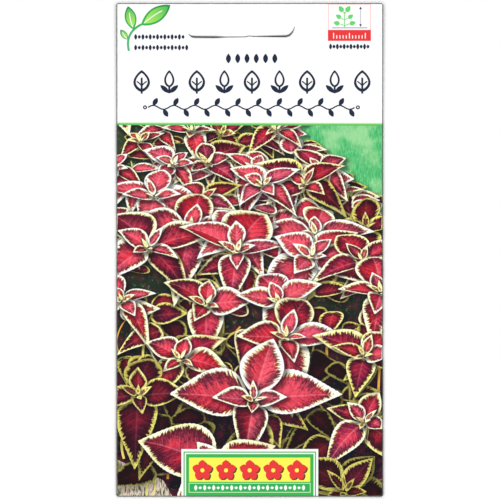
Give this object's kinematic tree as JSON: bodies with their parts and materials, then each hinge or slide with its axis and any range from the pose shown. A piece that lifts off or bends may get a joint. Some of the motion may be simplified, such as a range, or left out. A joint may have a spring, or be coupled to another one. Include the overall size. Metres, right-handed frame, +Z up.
{
  "type": "seed packet",
  "caption": "Flat sealed paper seed packet: a folded envelope with a curved hanging slit near its top edge, and a foil sachet of loose seeds inside.",
  "frame": {"origin": "middle of the back panel's outer face, on the surface that the packet lies on", "axes": "+Z up out of the printed front, +Y towards the top edge with the hanging slit, +X to the right seen from the front"},
  "size_m": [0.08, 0.148, 0.0019],
  "materials": {
    "coated_paper": "satin",
    "sachet_foil": "satin",
    "seed_coat": "satin"
  },
  "bodies": {
    "root": {"envelope": "coated_paper", "sachet_back_web": "sachet_foil", "sachet_front_web": "sachet_foil", "seed_01": "seed_coat", "seed_02": "seed_coat", "seed_03": "seed_coat", "seed_04": "seed_coat", "seed_05": "seed_coat", "seed_06": "seed_coat", "seed_07": "seed_coat", "seed_08": "seed_coat", "seed_09": "seed_coat", "seed_10": "seed_coat", "seed_11": "seed_coat", "seed_12": "seed_coat", "seed_13": "seed_coat", "seed_14": "seed_coat", "seed_15": "seed_coat", "seed_16": "seed_coat", "seed_17": "seed_coat", "seed_18": "seed_coat", "seed_19": "seed_coat", "seed_20": "seed_coat", "seed_21": "seed_coat", "seed_22": "seed_coat", "seed_23": "seed_coat", "seed_24": "seed_coat", "seed_25": "seed_coat", "seed_26": "seed_coat", "seed_27": "seed_coat", "seed_28": "seed_coat", "seed_29": "seed_coat", "seed_30": "seed_coat", "seed_31": "seed_coat", "seed_32": "seed_coat", "seed_33": "seed_coat", "seed_34": "seed_coat", "seed_35": "seed_coat", "seed_36": "seed_coat", "seed_37": "seed_coat", "seed_38": "seed_coat", "seed_39": "seed_coat", "seed_40": "seed_coat"}
  },
  "joints": []
}
